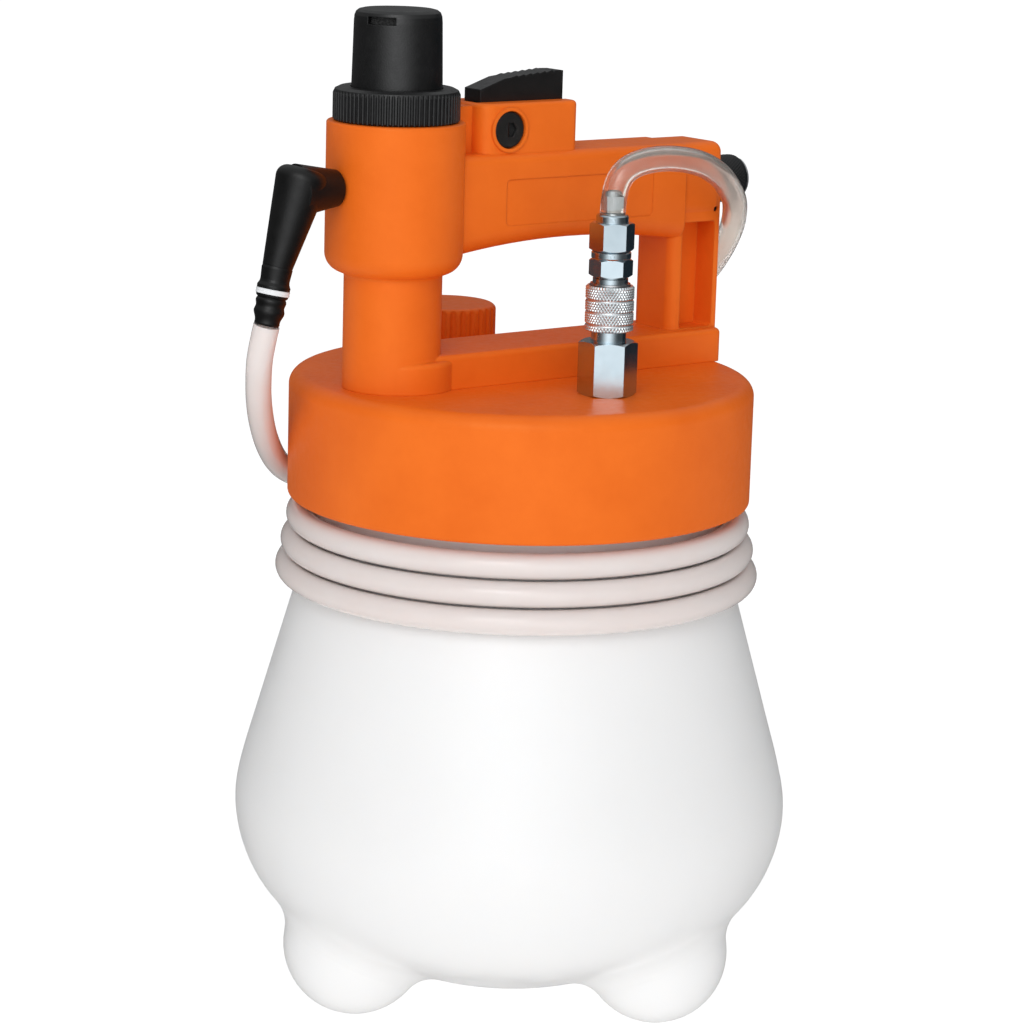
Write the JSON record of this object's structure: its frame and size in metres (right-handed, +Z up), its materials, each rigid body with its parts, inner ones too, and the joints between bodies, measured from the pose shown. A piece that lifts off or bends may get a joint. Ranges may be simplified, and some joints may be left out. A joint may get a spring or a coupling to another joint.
{
  "type": "hand vacuum pump",
  "caption": "Air-driven vacuum fluid extractor: tapered translucent tank on moulded feet, screw lid with pistol grip, thumb lever, silencer, coupler and hose wound round the neck.",
  "frame": {"origin": "on the floor under the tank's axis", "axes": "+Z up along the tank's axis, +X along the grip from the ejector column towards the air inlet, quick coupler on the -Y side"},
  "size_m": [0.2517, 0.2358, 0.423],
  "materials": {
    "tank_plastic": "translucent milky polyethylene, satin",
    "orange_plastic": "fine-textured moulded plastic",
    "black_plastic": "fine-textured moulded plastic",
    "black_knurled": "knurled moulded plastic",
    "zinc_steel": "bright zinc plate over turned steel",
    "black_steel": "black oxide",
    "spring_steel": "drawn wire",
    "brass": "machined",
    "seal_rubber": "satin",
    "elbow_rubber": "satin moulded",
    "clear_hose": "clear flexible PVC",
    "white_plastic": "gloss",
    "foam": "open-cell foam",
    "sinter": "sintered bronze"
  },
  "bodies": {
    "tank": {"tank": "tank_plastic"},
    "lid_seal": {"lid_gasket": "seal_rubber"},
    "silencer": {"silencer_body": "black_plastic", "silencer_foam": "foam", "silencer_seal": "seal_rubber"},
    "ring_nut": {"ring_nut": "black_knurled"},
    "cap_seal": {"cap_gasket": "seal_rubber"},
    "cap": {"fill_cap": "orange_plastic"},
    "trigger": {"trigger": "black_plastic"},
    "valve_plunger": {"valve_plunger": "brass", "valve_seal": "seal_rubber"},
    "coupler_sleeve": {"coupler_sleeve": "zinc_steel"},
    "flow_collar": {"flow_collar": "black_knurled"},
    "float": {"float": "white_plastic"},
    "lid": {"lid": "orange_plastic", "handle_frame": "orange_plastic", "frame_screws": "zinc_steel", "frame_seal": "seal_rubber", "pivot_screw": "black_steel", "pivot_nut": "black_steel", "valve_body": "brass", "valve_spring": "spring_steel", "inlet_bush": "zinc_steel", "inlet_seal": "seal_rubber", "inlet_filter": "sinter", "inlet_pin": "black_steel", "inlet_clip": "spring_steel", "venturi_nozzle": "brass", "venturi_diffuser": "brass", "diffuser_seal": "seal_rubber", "coupler_body": "zinc_steel", "coupler_spring": "spring_steel", "coupler_balls": "spring_steel", "coupler_oring": "seal_rubber", "coupler_clip": "spring_steel", "coupler_nut": "zinc_steel", "drop_tube": "white_plastic", "hose_plug": "zinc_steel", "hose_nut": "zinc_steel", "float_cage": "white_plastic", "float_seat": "seal_rubber", "parking_stub": "black_plastic", "hose_elbow": "elbow_rubber", "hose_cuff": "elbow_rubber", "cuff_ring": "white_plastic", "hose_supply": "clear_hose", "hose_coil": "clear_hose", "hose_return": "clear_hose"}
  },
  "joints": [
    {"name": "lid_lift", "type": "slide", "parent": "tank", "child": "lid_seal", "axis": [0, 0, 1], "range_m": [0, 0.0076]},
    {"name": "lid_turn", "type": "hinge", "parent": "lid_seal", "child": "lid", "pos_m": [0, 0, 0.27], "axis": [0, 0, 1], "range_deg": [0, 450]},
    {"name": "silencer_lift", "type": "slide", "parent": "lid", "child": "silencer", "axis": [0, 0, 1], "range_m": [0, 0.0038]},
    {"name": "ring_nut_turn", "type": "hinge", "parent": "silencer", "child": "ring_nut", "pos_m": [-0.067, 0, 0.385], "axis": [0, 0, 1], "range_deg": [0, 540]},
    {"name": "cap_lift", "type": "slide", "parent": "lid", "child": "cap_seal", "axis": [0, 0, 1], "range_m": [0, 0.0061]},
    {"name": "cap_turn", "type": "hinge", "parent": "cap_seal", "child": "cap", "pos_m": [0.0044, 0.062, 0.28], "axis": [0, 0, 1], "range_deg": [0, 720]},
    {"name": "trigger_press", "type": "hinge", "parent": "lid", "child": "trigger", "pos_m": [-0.0202, 0, 0.3741], "axis": [0, 1, 0], "range_deg": [0, 9], "stiffness_Nm_per_rad": 1.2, "springref_deg": -8.59},
    {"name": "plunger_travel", "type": "slide", "parent": "lid", "child": "valve_plunger", "axis": [0, 0, -1], "range_m": [0, 0.0028], "deforming": ["valve_spring"]},
    {"name": "sleeve_pull", "type": "slide", "parent": "lid", "child": "coupler_sleeve", "axis": [0, 0, -1], "range_m": [0, 0.0025], "stiffness_N_per_m": 2000, "springref_m": -0.003, "deforming": ["coupler_spring"]},
    {"name": "collar_turn", "type": "hinge", "parent": "lid", "child": "flow_collar", "pos_m": [0.1, 0, 0.3465], "axis": [1, 0, 0], "range_deg": [0, 270]},
    {"name": "float_rise", "type": "slide", "parent": "lid", "child": "float", "axis": [0, 0, 1], "range_m": [0, 0.0085]}
  ],
  "couplings": [
    {"joint": "lid_lift", "follows": "lid_turn", "m_per_rad": 0.00095493},
    {"joint": "silencer_lift", "follows": "ring_nut_turn", "m_per_rad": 0.00039789},
    {"joint": "cap_lift", "follows": "cap_turn", "m_per_rad": 0.00047746},
    {"joint": "plunger_travel", "follows": "trigger_press", "m_per_rad": 0.0172}
  ]
}
